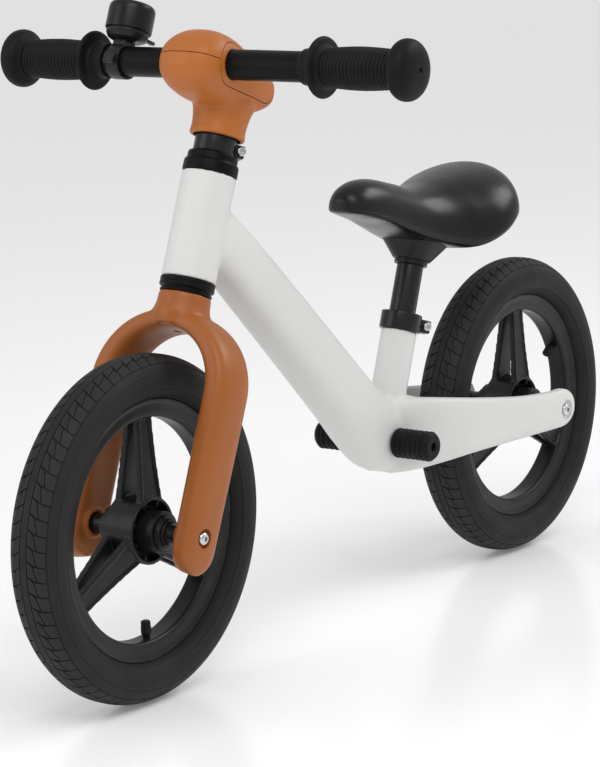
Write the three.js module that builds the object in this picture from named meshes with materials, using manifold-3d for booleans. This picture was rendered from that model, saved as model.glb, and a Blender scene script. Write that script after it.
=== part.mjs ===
// Child's balance bike, full size, in millimetres.
// +X points forward, +Y to the rider's left, +Z up; the origin is on the ground midway between the axles.
import * as THREE from 'three';
import { mergeVertices } from 'three/addons/utils/BufferGeometryUtils.js';
import Module from 'manifold-3d';

const wasm = await Module();
wasm.setup();

// Driving sizes
const GAP = 0.3;
const WHEEL_RADIUS = 145;
const HALF_WHEELBASE = 294.5;
const STEER_LEAN = THREE.MathUtils.degToRad(21.5);
const SEAT_LEAN = THREE.MathUtils.degToRad(19.7);
const SEAT_FOOT = { x: -78.8, z: 196.1 };
const AXLE_RADIUS = 5;
const LEG = { inner: 47, outer: 68, shoulder: 71, halfWidth: 22, back: -2 };
const STAY_INNER = 50;
const STAY_OUTER = 64.5;
const BAR = { radius: 12.7, wall: 2, halfLength: 204, forward: 33.6, height: 386.5 };
const PEG = { x: -56.9, z: 153, start: 23.2, end: 62.5, radius: 13.8, rodRadius: 5, rodEnd: 56 };
const HEAD = { radius: 23, bottom: 210, top: 300.6 };
const STEERER_RADIUS = 14.5;
const STEM_RADIUS = 11;
const POST_RADIUS = 12.3;

// Colours and finishes
function finish(color, roughness, metalness) {
  return new THREE.MeshStandardMaterial({ color, roughness, metalness });
}
const WHITE_PAINT = finish(0xdededc, 0.55, 0.0);
const ORANGE_PAINT = finish(0xb86b38, 0.45, 0.0);
const ORANGE_PLASTIC = finish(0xbe6f3b, 0.4, 0.0);
const RUBBER = finish(0x1a1a1a, 0.85, 0.0);
const BLACK_PLASTIC = finish(0x202022, 0.5, 0.0);
const BLACK_METAL = finish(0x151517, 0.35, 0.6);
const BLACK_FOAM = finish(0x18181a, 0.6, 0.0);
const STEEL = finish(0xc4c6c8, 0.3, 1.0);

// Local frames: the steering frame stands on the front axle, the seat frame on the foot of the seat tube.
const steeringFrame = new THREE.Matrix4().makeRotationY(-STEER_LEAN);
steeringFrame.setPosition(HALF_WHEELBASE, 0, WHEEL_RADIUS);
const seatFrame = new THREE.Matrix4().makeRotationY(-SEAT_LEAN);
seatFrame.setPosition(SEAT_FOOT.x, 0, SEAT_FOOT.z);
const frontAxle = new THREE.Matrix4().makeTranslation(HALF_WHEELBASE, 0, WHEEL_RADIUS);
const rearAxle = new THREE.Matrix4().makeTranslation(-HALF_WHEELBASE, 0, WHEEL_RADIUS);

const group = new THREE.Group();
group.name = 'balance_bike';

// Solid modelling helpers
function signedVolume(position, index) {
  let total = 0;
  const [a, b, c] = [new THREE.Vector3(), new THREE.Vector3(), new THREE.Vector3()];
  for (let i = 0; i < index.count; i += 3) {
    a.fromBufferAttribute(position, index.getX(i));
    b.fromBufferAttribute(position, index.getX(i + 1));
    c.fromBufferAttribute(position, index.getX(i + 2));
    total += a.dot(b.cross(c));
  }
  return total / 6;
}

function toSolid(geometry) {
  const bare = new THREE.BufferGeometry();
  bare.setAttribute('position', geometry.getAttribute('position').clone());
  if (geometry.index) bare.setIndex(geometry.index.clone());
  const merged = mergeVertices(bare, 1e-4);
  const triVerts = Uint32Array.from(merged.index.array);
  if (signedVolume(merged.getAttribute('position'), merged.index) < 0) {
    for (let i = 0; i < triVerts.length; i += 3) {
      [triVerts[i + 1], triVerts[i + 2]] = [triVerts[i + 2], triVerts[i + 1]];
    }
  }
  const vertProperties = Float32Array.from(merged.getAttribute('position').array);
  return new wasm.Manifold(new wasm.Mesh({ numProp: 3, vertProperties, triVerts }));
}

function addPart(name, solid, material, frame = new THREE.Matrix4()) {
  const result = solid.getMesh();
  const geometry = new THREE.BufferGeometry();
  geometry.setAttribute('position', new THREE.BufferAttribute(Float32Array.from(result.vertProperties), 3));
  geometry.setIndex(Array.from(result.triVerts));
  geometry.applyMatrix4(frame);
  geometry.computeVertexNormals();
  const mesh = new THREE.Mesh(geometry, material);
  mesh.name = name;
  group.add(mesh);
}

// A turned body: profile points are [radius, height]; the axis is the chosen coordinate axis.
function turned(profile, segments, axis = 'z', closed = false) {
  const points = profile.map(([radius, height]) => new THREE.Vector2(radius, height));
  if (closed) points.push(points[0].clone());
  const geometry = new THREE.LatheGeometry(points, segments);
  if (axis === 'z') geometry.rotateX(Math.PI / 2);
  if (axis === 'x') geometry.rotateZ(-Math.PI / 2);
  return geometry;
}

function turnedSolid(profile, segments, axis = 'z', closed = false) {
  return toSolid(turned(profile, segments, axis, closed));
}

// A plain round bar between two distances along the chosen axis.
function barSolid(radius, from, to, segments, axis = 'z', shift = [0, 0, 0]) {
  const geometry = turned([[0, from], [radius, from], [radius, to], [0, to]], segments, axis);
  geometry.translate(...shift);
  return toSolid(geometry);
}

function tubeProfile(outer, inner, from, to) {
  return [[inner, from], [outer, from], [outer, to], [inner, to]];
}

// A rounded section: points of a super-ellipse with half sizes a and b along two directions.
function section(at, alongA, alongB, a, b, power, count) {
  const ring = [];
  for (let i = 0; i < count; i += 1) {
    const angle = (2 * Math.PI * (i + 0.5)) / count;
    const [c, s] = [Math.cos(angle), Math.sin(angle)];
    const u = a * Math.sign(c) * Math.abs(c) ** (2 / power);
    const v = b * Math.sign(s) * Math.abs(s) ** (2 / power);
    ring.push(at.clone().addScaledVector(alongA, u).addScaledVector(alongB, v));
  }
  return ring;
}

// Skin a closed body over a row of equal-count rings, closing both ends with fans.
function loft(rings) {
  const count = rings[0].length;
  const positions = [];
  const index = [];
  rings.flat().forEach((point) => positions.push(point.x, point.y, point.z));
  for (let r = 0; r + 1 < rings.length; r += 1) {
    for (let i = 0; i < count; i += 1) {
      const j = (i + 1) % count;
      const [p, q] = [r * count, (r + 1) * count];
      index.push(p + i, p + j, q + j, p + i, q + j, q + i);
    }
  }
  for (const r of [0, rings.length - 1]) {
    const middle = new THREE.Vector3();
    rings[r].forEach((point) => middle.addScaledVector(point, 1 / count));
    const hub = positions.length / 3;
    positions.push(middle.x, middle.y, middle.z);
    for (let i = 0; i < count; i += 1) {
      const [p, q] = [r * count + i, r * count + ((i + 1) % count)];
      if (r === 0) index.push(hub, q, p);
      else index.push(hub, p, q);
    }
  }
  const geometry = new THREE.BufferGeometry();
  geometry.setAttribute('position', new THREE.Float32BufferAttribute(positions, 3));
  geometry.setIndex(index);
  return toSolid(geometry);
}

// Sweep rounded sections through stations {at, a, b, power}; a is measured along the fixed direction.
function sweep(fixed, stations, count) {
  const centres = stations.map((station) => new THREE.Vector3(...station.at));
  const rings = stations.map((station, i) => {
    const before = centres[Math.max(i - 1, 0)];
    const after = centres[Math.min(i + 1, centres.length - 1)];
    const travel = after.clone().sub(before).normalize();
    const across = travel.clone().cross(fixed).normalize();
    return section(centres[i], fixed, across, station.a, station.b, station.power ?? 2.6, count);
  });
  return loft(rings);
}

const AXIS_X = new THREE.Vector3(1, 0, 0);
const AXIS_Y = new THREE.Vector3(0, 1, 0);
const AXIS_Z = new THREE.Vector3(0, 0, 1);

// Wheels
const RIM = { opening: 93.3, edge: 109.4, halfWidth: 12.2 };
const HUB = { ring: 28, barrel: 17.5, ringHalf: 15, barrelHalf: 27 };
const SPOKE_ANGLES = [92, 212, 332].map(THREE.MathUtils.degToRad);

// Rings of flat facets, turned so that one facet lies level at the very bottom.
function facettedRing(half) {
  const facets = 32;
  const grow = 1 / Math.cos(Math.PI / facets);
  const mirrored = half.map(([radius, y]) => [radius, -y]).reverse();
  const profile = [...half, ...mirrored].map(([radius, y]) => [radius * grow, y]);
  const geometry = turned(profile, facets, 'y', true);
  geometry.rotateY(Math.PI / facets);
  return toSolid(geometry);
}

function tyreSolid() {
  // The crown band is flat across, so the tyre rests squarely on the ground.
  return facettedRing([
    [WHEEL_RADIUS, 6], [142.4, 14], [136, 20.6], [126, 23.7], [116, 21.2], [109.9, 14.2],
    [109.9, 11.2], [102, 6],
  ]);
}

function rimRing() {
  return facettedRing([
    [RIM.opening, 9.5], [97, 11.4], [RIM.edge, RIM.halfWidth], [RIM.edge, 11.6], [101.4, 6.6],
  ]);
}

function hubBody() {
  const half = [
    [HUB.barrel, HUB.barrelHalf], [HUB.barrel, 4], [HUB.ring - 2.7, 4], [HUB.ring - 2.7, HUB.ringHalf],
    [HUB.ring, HUB.ringHalf],
  ];
  const mirrored = half.map(([radius, y]) => [radius, -y]).reverse();
  const bore = AXLE_RADIUS + GAP;
  const profile = [[bore, HUB.barrelHalf], ...half, ...mirrored, [bore, -HUB.barrelHalf]];
  return turnedSolid(profile, 20, 'y', true);
}

// Each spoke is a pair of blades that meet at the rim and stand apart at the hub.
function spokeBlade(angle, side) {
  const outward = new THREE.Vector3(Math.cos(angle), 0, Math.sin(angle));
  const around = new THREE.Vector3(-Math.sin(angle), 0, Math.cos(angle));
  const stations = [
    { radius: HUB.ring - 2, y: 11, width: 13, thickness: 3.4 },
    { radius: 48, y: 9, width: 11, thickness: 3 },
    { radius: RIM.opening + 2, y: 4.6, width: 8.5, thickness: 3.2 },
  ];
  const rings = stations.map(({ radius, y, width, thickness }) => {
    const at = outward.clone().multiplyScalar(radius).addScaledVector(AXIS_Y, side * y);
    return section(at, around, AXIS_Y, width, thickness, 5, 8);
  });
  return loft(rings);
}

function valveHole(angle) {
  const geometry = turned([[0, 85], [3.4, 85], [3.4, 108], [0, 108]], 12, 'x');
  geometry.rotateY(-angle);
  return toSolid(geometry);
}

function rimSolid(valveAngle) {
  let solid = rimRing().add(hubBody());
  for (const angle of SPOKE_ANGLES) {
    for (const side of [1, -1]) solid = solid.add(spokeBlade(angle, side));
  }
  return solid.subtract(valveHole(valveAngle));
}

function valveSolid(angle) {
  const profile = [[0, 79], [3.6, 79], [4.4, 80.4], [4.4, 90.5], [3, 91], [3, 100.6], [0, 100.6]];
  const geometry = turned(profile, 12, 'x');
  geometry.rotateY(-angle);
  return toSolid(geometry);
}

function spacerSolid(side, reach) {
  const bore = AXLE_RADIUS + GAP;
  const start = HUB.barrelHalf + GAP;
  const profile = [
    [bore, start], [14.5, start], [14.5, 31], [8.5, 35.6], [8.5, reach], [bore, reach],
  ];
  const geometry = turned(profile, 16, 'y', true);
  geometry.scale(1, side, 1);
  return toSolid(geometry);
}

// A button-head bolt lying along Y with a six-sided socket.
function boltSolid(side, seat, radius, height) {
  const dome = [
    [0, seat], [radius, seat], [radius, seat + height * 0.3], [radius * 0.6, seat + height],
    [0, seat + height],
  ];
  const head = turned(dome, 12, 'y');
  head.scale(1, side, 1);
  const [socketFrom, socketTo] = [seat + height * 0.45, seat + height + 1];
  const socket = turned([
    [0, socketFrom], [radius * 0.4, socketFrom], [radius * 0.4, socketTo], [0, socketTo],
  ], 6, 'y');
  socket.scale(1, side, 1);
  return toSolid(head).subtract(toSolid(socket));
}

function addWheel(prefix, frame, valveAngle, legInner, legOuter, boltSeat) {
  addPart(`${prefix}_tyre`, tyreSolid(), RUBBER, frame);
  addPart(`${prefix}_rim`, rimSolid(valveAngle), BLACK_PLASTIC, frame);
  addPart(`${prefix}_valve`, valveSolid(valveAngle), RUBBER, frame);
  const axleEnd = boltSeat - GAP;
  addPart(`${prefix}_axle`, barSolid(AXLE_RADIUS, -axleEnd, axleEnd, 16, 'y'), STEEL, frame);
  for (const [label, side] of [['left', 1], ['right', -1]]) {
    addPart(`${prefix}_spacer_${label}`, spacerSolid(side, legInner - GAP), BLACK_METAL, frame);
    const bolt = boltSolid(side, boltSeat, 5.8, legOuter - boltSeat + 1.2);
    addPart(`${prefix}_bolt_${label}`, bolt, STEEL, frame);
  }
}

addWheel('front', frontAxle, THREE.MathUtils.degToRad(267), LEG.inner, LEG.outer, 64.8);
addWheel('rear', rearAxle, THREE.MathUtils.degToRad(151), STAY_INNER, STAY_OUTER, 62.3);

// Frame casting: beam, head tube, seat tube and the two stays in one piece
const BEAM = [
  { x: 196, z: 386, height: 45, width: 39 },
  { x: 159.3, z: 352.4, height: 50.5, width: 42 },
  { x: 79.7, z: 279.1, height: 55, width: 43 },
  { x: 5.2, z: 209.6, height: 59, width: 43.5 },
  { x: -25, z: 181.4, height: 63, width: 44 },
  { x: -52, z: 162.5, height: 70, width: 44 },
  { x: -80, z: 156.5, height: 72, width: 48 },
  { x: -106, z: 154.5, height: 64, width: 56 },
  { x: -121, z: 154.5, height: 46, width: 44 },
];
const STAY = [
  { x: -60, y: 9, thickness: 20, top: 192, bottom: 122 },
  { x: -86, y: 21, thickness: 20, top: 190, bottom: 122 },
  { x: -114, y: 37, thickness: 17, top: 186.5, bottom: 126 },
  { x: -145, y: 49.5, thickness: 15, top: 182, bottom: 130 },
  { x: -182, y: 55.6, thickness: 14.6, top: 176.5, bottom: 131 },
  { x: -228, y: 57.25, thickness: 14.5, top: 170, bottom: 130 },
  { x: -274, y: 57.25, thickness: 14.5, top: 166, bottom: 128.4 },
  { x: -293, y: 57.25, thickness: 14.5, top: 165.6, bottom: 128.2 },
  { x: -303, y: 57.25, thickness: 14.2, top: 163, bottom: 130.8 },
  { x: -309, y: 57.25, thickness: 13.4, top: 158, bottom: 136 },
  { x: -312, y: 57.25, thickness: 11.5, top: 152, bottom: 142 },
];

function beamSolid() {
  const stations = BEAM.map(({ x, z, height, width }) => (
    { at: [x, 0, z], a: width / 2, b: height / 2, power: 3 }
  ));
  return sweep(AXIS_Y, stations, 20);
}

function staySolid(side) {
  const stations = STAY.map(({ x, y, thickness, top, bottom }) => (
    { at: [x, side * y, (top + bottom) / 2], a: (top - bottom) / 2, b: thickness / 2, power: 3.6 }
  ));
  return sweep(AXIS_Z, stations, 12);
}

function inFrame(solid, frame) {
  const result = solid.getMesh();
  const geometry = new THREE.BufferGeometry();
  geometry.setAttribute('position', new THREE.BufferAttribute(Float32Array.from(result.vertProperties), 3));
  geometry.setIndex(Array.from(result.triVerts));
  geometry.applyMatrix4(frame);
  return toSolid(geometry);
}

const SEAT_TUBE = { radius: 16.6, top: 56, boreBottom: -22 };

function frameSolid() {
  const head = inFrame(barSolid(HEAD.radius, HEAD.bottom, HEAD.top, 28), steeringFrame);
  const seatTube = inFrame(barSolid(SEAT_TUBE.radius, -20, SEAT_TUBE.top, 24), seatFrame);
  let solid = beamSolid().add(head).add(seatTube).add(staySolid(1)).add(staySolid(-1));
  const steererBore = inFrame(
    barSolid(STEERER_RADIUS + 2, HEAD.bottom - 40, HEAD.top + 40, 20), steeringFrame);
  const postBore = inFrame(
    barSolid(POST_RADIUS + GAP, SEAT_TUBE.boreBottom, SEAT_TUBE.top + 40, 20), seatFrame);
  solid = solid.subtract(steererBore).subtract(postBore);
  const pegBore = barSolid(PEG.rodRadius + GAP, -80, 80, 12, 'y', [PEG.x, 0, PEG.z]);
  const axleBore = barSolid(AXLE_RADIUS + GAP, -80, 80, 16, 'y', [-HALF_WHEELBASE, 0, WHEEL_RADIUS]);
  solid = solid.subtract(pegBore).subtract(axleBore);
  for (const side of [1, -1]) {
    const ends = side > 0 ? [62, 80] : [-80, -62];
    solid = solid.subtract(barSolid(10, ...ends, 16, 'y', [-HALF_WHEELBASE, 0, WHEEL_RADIUS]));
  }
  return solid;
}
addPart('frame', frameSolid(), WHITE_PAINT);

// Fork: neck, horseshoe arch and two legs in one casting, in the steering frame
const ARCH = { centre: 118, outerHeight: 66, innerHeight: 48.5 };

// One station of the fork: the band between an outer and an inner point of its outline.
function forkStation(outer, inner, width) {
  const middle = [(outer[0] + inner[0]) / 2, (outer[1] + inner[1]) / 2];
  const depth = Math.hypot(outer[0] - inner[0], outer[1] - inner[1]) / 2;
  return { at: [LEG.back, ...middle], a: width, b: depth, power: 3 };
}

function forkStations() {
  const stations = [];
  const endCentre = -8;
  for (const drop of [0.985, 0.9, 0.72, 0.45, 0]) {
    const height = endCentre - drop * LEG.halfWidth;
    const width = LEG.halfWidth * Math.sqrt(1 - drop * drop);
    const pinch = drop ** 4;
    stations.push(forkStation([LEG.outer - 4 * pinch, height], [LEG.inner + 2 * pinch, height], width));
  }
  for (const [height, spread] of [[45, 0.5], [88, 0.85]]) {
    const outer = LEG.outer + spread * (LEG.shoulder - LEG.outer);
    stations.push(forkStation([outer, height], [LEG.inner, height], LEG.halfWidth));
  }
  const steps = 6;
  for (let i = 0; i <= steps; i += 1) {
    const angle = (Math.PI / 2) * (i / steps);
    const [c, s] = [Math.cos(angle), Math.sin(angle)];
    const outer = [LEG.shoulder * c, ARCH.centre + ARCH.outerHeight * s];
    const inner = [LEG.inner * c, ARCH.centre + ARCH.innerHeight * s];
    stations.push(forkStation(outer, inner, LEG.halfWidth + 0.5 * s));
  }
  const mirrored = stations.slice(0, -1).reverse().map((station) => {
    const [x, y, z] = station.at;
    return { ...station, at: [x, -y, z] };
  });
  return [...stations, ...mirrored];
}

const CROWN_TOP = 197.6;

function forkSolid() {
  const neck = turnedSolid(
    [[0, 168], [22.8, 170], [24.6, 181], [22.6, 187], [22, CROWN_TOP], [0, CROWN_TOP]], 24);
  let solid = sweep(AXIS_X, forkStations(), 14).add(neck);
  solid = solid.subtract(barSolid(STEERER_RADIUS + GAP, 176, CROWN_TOP + 5, 20));
  solid = solid.subtract(barSolid(4, 150, 180, 10));
  solid = solid.subtract(barSolid(AXLE_RADIUS + GAP, -90, 90, 16, 'y'));
  for (const ends of [[64.5, 90], [-90, -64.5]]) {
    solid = solid.subtract(barSolid(8.2, ...ends, 16, 'y'));
  }
  return solid;
}
addPart('fork', forkSolid(), ORANGE_PAINT, steeringFrame);

// Headset and steerer, in the steering frame
const CLAMP = { radius: 17.8, bottom: 318.6, top: 340 };
addPart('steerer_tube',
  turnedSolid(tubeProfile(STEERER_RADIUS, STEM_RADIUS + GAP, 176.5, CLAMP.top), 20, 'z', true),
  BLACK_METAL, steeringFrame);
const raceBore = STEERER_RADIUS + GAP;
addPart('lower_headset_cup', turnedSolid([
  [raceBore, CROWN_TOP + GAP], [22, CROWN_TOP + GAP], [21.4, 201], [23.2, 202.6],
  [23.2, HEAD.bottom - GAP], [raceBore, HEAD.bottom - GAP],
], 24, 'z', true), BLACK_METAL, steeringFrame);
addPart('upper_headset_cup', turnedSolid([
  [raceBore, HEAD.top + GAP], [23.2, HEAD.top + GAP], [23.2, 311], [22, 312.4],
  [21.4, CLAMP.bottom - GAP], [raceBore, CLAMP.bottom - GAP],
], 24, 'z', true), BLACK_METAL, steeringFrame);

// The stem clamp is a split collar with its ears and screw at the left rear.
function stemClampSolid() {
  const earGeometry = new THREE.BoxGeometry(9, 13, 11);
  earGeometry.translate(-CLAMP.radius - 2.5, 0, CLAMP.bottom + 6);
  const slotGeometry = new THREE.BoxGeometry(20, 2, 40);
  slotGeometry.translate(-CLAMP.radius - 3, 0, CLAMP.bottom + 10);
  const screwHole = barSolid(2.4, -20, 20, 10, 'y', [-CLAMP.radius - 3.2, 0, CLAMP.bottom + 6]);
  const collar = turnedSolid(
    tubeProfile(CLAMP.radius, raceBore, CLAMP.bottom, CLAMP.top - 1), 20, 'z', true);
  let solid = collar.add(toSolid(earGeometry).subtract(barSolid(raceBore, 300, 350, 20)));
  solid = solid.subtract(toSolid(slotGeometry)).subtract(screwHole);
  return solid;
}

// A cap screw along Y, with the head on the left.
function clampScrewSolid(headRadius, headFrom, tailTo, at) {
  const geometry = turned([
    [0, tailTo], [2.1, tailTo], [2.1, headFrom], [headRadius, headFrom], [headRadius, headFrom + 4],
    [0, headFrom + 4],
  ], 10, 'y');
  const socket = turned([
    [0, headFrom + 2], [1.6, headFrom + 2], [1.6, headFrom + 6], [0, headFrom + 6],
  ], 6, 'y');
  geometry.translate(...at);
  socket.translate(...at);
  return toSolid(geometry).subtract(toSolid(socket));
}
const clampTurn = new THREE.Matrix4().makeRotationZ(THREE.MathUtils.degToRad(-38));
const stemClampFrame = steeringFrame.clone().multiply(clampTurn);
addPart('stem_clamp', stemClampSolid(), BLACK_METAL, stemClampFrame);
addPart('stem_clamp_screw',
  clampScrewSolid(3.9, 6.5 + GAP, -7, [-CLAMP.radius - 3.2, 0, CLAMP.bottom + 6]), STEEL, stemClampFrame);

// Handlebar, stem and grips, in the steering frame
const barShift = [BAR.forward, 0, BAR.height];

function stemSolid() {
  const post = barSolid(STEM_RADIUS, 226, 372, 16);
  const neck = sweep(AXIS_Y, [
    { at: [0, 0, 352], a: 11, b: 11 },
    { at: [6, 0, 368], a: 12, b: 12 },
    { at: [BAR.forward, 0, 382], a: 12, b: 9 },
  ], 10);
  const sleeve = barSolid(17, -19, 19, 16, 'y', barShift);
  const bore = barSolid(BAR.radius + GAP, -40, 40, 20, 'y', barShift);
  return post.add(neck).add(sleeve).subtract(bore);
}
addPart('stem', stemSolid(), BLACK_METAL, steeringFrame);

function handlebarSolid() {
  const geometry = turned(
    tubeProfile(BAR.radius, BAR.radius - BAR.wall, -BAR.halfLength, BAR.halfLength), 20, 'y', true);
  geometry.translate(...barShift);
  return toSolid(geometry);
}
addPart('handlebar', handlebarSolid(), BLACK_METAL, steeringFrame);

// Distances along the grip are measured from the middle of the bar.
const GRIP = {
  start: 101.5, flange: 118.5, ribsFrom: 124, ribsTo: 187, knob: 198.5, end: 211.5, ribs: 9, sides: 14,
};

function gripProfile() {
  const bore = (BAR.radius + GAP) / Math.cos(Math.PI / GRIP.sides);
  const profile = [
    [bore, GRIP.start], [14.6, GRIP.start], [15.2, GRIP.flange - 4], [24.6, GRIP.flange - 2],
    [25, GRIP.flange + 2], [17, GRIP.ribsFrom - 0.6],
  ];
  const pitch = (GRIP.ribsTo - GRIP.ribsFrom) / GRIP.ribs;
  for (let i = 0; i < GRIP.ribs; i += 1) {
    const y = GRIP.ribsFrom + i * pitch;
    const swell = 1.5 * Math.sin((Math.PI * (i + 0.5)) / GRIP.ribs);
    profile.push([16.6 + swell, y + 0.35 * pitch], [15.6 + swell, y + pitch]);
  }
  profile.push(
    [19.5, GRIP.knob - 7.5], [24.8, GRIP.knob - 2.6], [23.6, GRIP.knob + 5], [16, GRIP.knob + 10.4],
    [2, GRIP.end], [2, GRIP.end - 3], [0, GRIP.end - 3], [0, BAR.halfLength + GAP],
    [bore, BAR.halfLength + GAP],
  );
  return profile;
}

function gripSolid(side) {
  const geometry = turned(gripProfile(), GRIP.sides, 'y', true);
  geometry.scale(1, side, 1);
  geometry.translate(...barShift);
  return toSolid(geometry);
}

// Stem cover: a rounded shell split at the height of the bar, with a drop-shaped cap on each side
const COVER = [
  { t: -40, width: 13, bottom: 378, top: 389 },
  { t: -38, width: 20, bottom: 372, top: 394 },
  { t: -31, width: 26, bottom: 365, top: 398.5 },
  { t: -16, width: 28.5, bottom: 358, top: 402.5 },
  { t: 4, width: 29.3, bottom: 354, top: 408 },
  { t: 26, width: 29.6, bottom: 354, top: 413.2 },
  { t: 42, width: 29.6, bottom: 354.5, top: 412.6 },
  { t: 54, width: 28.6, bottom: 356.5, top: 408 },
  { t: 63, width: 25.4, bottom: 361.5, top: 401 },
  { t: 68.5, width: 19.5, bottom: 367.5, top: 394 },
  { t: 71.8, width: 10, bottom: 375, top: 386 },
];
const SEAM = BAR.height - 0.8;

function coverBody() {
  const stations = COVER.map(({ t, width, bottom, top }) => (
    { at: [t, 0, (bottom + top) / 2], a: width, b: (top - bottom) / 2, power: 2.5 }
  ));
  const bulb = sweep(AXIS_Y, stations, 18);
  const neck = turnedSolid([
    [0, 332.4], [23.4, 332.4], [23.7, 334.5], [23, 337], [23.2, 346], [24.4, 354], [27, 362],
    [27, 370], [0, 370],
  ], 24);
  return bulb.add(neck);
}

function coverHollow() {
  const opening = barSolid(20.2, 320, 350, 20);
  const shaft = barSolid(STEM_RADIUS + 1, 340, 373, 14);
  const throat = sweep(AXIS_Y, [
    { at: [0, 0, 350], a: 12, b: 12 },
    { at: [6, 0, 368], a: 13, b: 13 },
    { at: [BAR.forward, 0, 382], a: 13, b: 10 },
  ], 10);
  const sleeve = barSolid(18, -19.6, 19.6, 16, 'y', barShift);
  const bar = barSolid(BAR.radius + GAP, -60, 60, 20, 'y', barShift);
  return opening.add(shaft).add(throat).add(sleeve).add(bar);
}

// The drop outline: a round nose about the bar, narrowing to a small round tail at the rear.
function capPrism(side, grow, from) {
  const nose = { t: BAR.forward, s: BAR.height, radius: 18.4 + grow };
  const tail = { t: -20, s: 381, radius: 11.5 + grow };
  const shape = new THREE.Shape();
  const tilt = Math.atan2(tail.s - nose.s, tail.t - nose.t);
  const spread = Math.acos((nose.radius - tail.radius) / Math.hypot(tail.t - nose.t, tail.s - nose.s));
  shape.absarc(nose.t, nose.s, nose.radius, tilt + spread, tilt - spread + 2 * Math.PI, false);
  shape.absarc(tail.t, tail.s, tail.radius, tilt - spread, tilt + spread, false);
  const depth = 20;
  const geometry = new THREE.ExtrudeGeometry(shape, { depth, bevelEnabled: false, curveSegments: 9 });
  geometry.rotateX(Math.PI / 2);
  geometry.translate(0, from + depth, 0);
  geometry.scale(1, side, 1);
  return toSolid(geometry);
}

function halfSpace(from, to) {
  const geometry = new THREE.BoxGeometry(200, 200, to - from);
  geometry.translate(0, 0, (from + to) / 2);
  return toSolid(geometry);
}

function addCover() {
  const hollow = coverHollow();
  const body = coverBody();
  const capFrom = 22;
  const shell = body.subtract(hollow)
    .subtract(capPrism(1, GAP, capFrom)).subtract(capPrism(-1, GAP, capFrom));
  const upper = shell.intersect(halfSpace(SEAM + GAP / 2, 450));
  const lower = shell.intersect(halfSpace(300, SEAM - GAP / 2));
  addPart('stem_cover_upper', upper, ORANGE_PLASTIC, steeringFrame);
  addPart('stem_cover_lower', lower, ORANGE_PLASTIC, steeringFrame);
  for (const [label, side] of [['left', 1], ['right', -1]]) {
    const cap = body.intersect(capPrism(side, 0, capFrom + GAP)).subtract(hollow);
    addPart(`cover_cap_${label}`, cap, ORANGE_PLASTIC, steeringFrame);
    addPart(`grip_${label}`, gripSolid(side), RUBBER, steeringFrame);
  }
}
addCover();

// Bell on the right-hand side of the bar, standing along the steering direction
const BELL = { y: -89, radius: 20, base: 404, seam: 412.6, top: 437 };
const bellShift = new THREE.Matrix4().makeTranslation(BAR.forward, BELL.y, 0);
const bellFrame = steeringFrame.clone().multiply(bellShift);

function bellStrapSolid() {
  const ring = turned(tubeProfile(15.4, BAR.radius + GAP, -6.5, 6.5), 20, 'y', true);
  ring.translate(0, 0, BAR.height);
  const foot = new THREE.BoxGeometry(15, 13, 10);
  foot.translate(2, 0, BAR.height + 17);
  const ear = new THREE.BoxGeometry(8, 11, 9);
  ear.translate(15.5, 0, BAR.height - 2);
  const bore = barSolid(BAR.radius + GAP, -20, 20, 20, 'y', [0, 0, BAR.height]);
  return toSolid(ring).add(toSolid(foot)).add(toSolid(ear)).subtract(bore);
}
addPart('bell_strap', bellStrapSolid().subtract(halfSpace(BELL.base - GAP, 460)), BLACK_PLASTIC, bellFrame);
addPart('bell_base', turnedSolid([
  [0, BELL.base], [13, BELL.base], [17.4, BELL.base + 3], [18.4, BELL.base + 5.6], [18.4, BELL.seam - GAP],
  [0, BELL.seam - GAP],
], 20).subtract(leverPocket()), BLACK_PLASTIC, bellFrame);
addPart('bell_dome', turnedSolid([
  [0, BELL.seam], [BELL.radius, BELL.seam], [BELL.radius, BELL.top - 6], [BELL.radius - 1.3, BELL.top - 2.6],
  [BELL.radius - 4.4, BELL.top - 0.6], [0, BELL.top],
], 24), BLACK_METAL, bellFrame);

// The striker lever turns on an upright pin in a pocket cut in the base.
function leverSolid() {
  const geometry = new THREE.BoxGeometry(20, 5, 3);
  geometry.translate(-16, 8, BELL.base + 5.6);
  return toSolid(geometry);
}
function leverPocket() {
  const wide = new THREE.BoxGeometry(25, 13.5, 4.2);
  wide.translate(-16.5, 9.75, BELL.base + 5.6);
  return toSolid(wide);
}
addPart('bell_lever', leverSolid(), BLACK_PLASTIC, bellFrame);

// Seat clamp, post and saddle, in the seat frame
const SEAT_CLAMP = { radius: 19, bottom: 56.3, top: 72.5 };
function seatClampSolid() {
  const ear = new THREE.BoxGeometry(13, 13, 12);
  ear.translate(-SEAT_CLAMP.radius - 3, 0, 64.4);
  const slot = new THREE.BoxGeometry(22, 2.2, 30);
  slot.translate(-SEAT_CLAMP.radius - 3, 0, 64.4);
  const bore = POST_RADIUS + GAP;
  const collar = turnedSolid(
    tubeProfile(SEAT_CLAMP.radius, bore, SEAT_CLAMP.bottom, SEAT_CLAMP.top), 20, 'z', true);
  const solid = collar.add(toSolid(ear).subtract(barSolid(bore, 40, 90, 20)));
  const screwHole = barSolid(2.4, -20, 20, 10, 'y', [-SEAT_CLAMP.radius - 4.5, 0, 64.4]);
  return solid.subtract(toSolid(slot)).subtract(screwHole);
}
const seatClampTurn = new THREE.Matrix4().makeRotationZ(THREE.MathUtils.degToRad(-30));
const seatClampFrame = seatFrame.clone().multiply(seatClampTurn);
addPart('seat_clamp', seatClampSolid(), BLACK_METAL, seatClampFrame);
addPart('seat_clamp_screw',
  clampScrewSolid(4, 6.5 + GAP, -7, [-SEAT_CLAMP.radius - 4.5, 0, 64.4]), STEEL, seatClampFrame);
const POST = { bottom: 15, top: 128 };
addPart('seat_post',
  turnedSolid(tubeProfile(POST_RADIUS, POST_RADIUS - 1.8, POST.bottom, POST.top), 20, 'z', true),
  BLACK_METAL, seatFrame);

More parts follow.
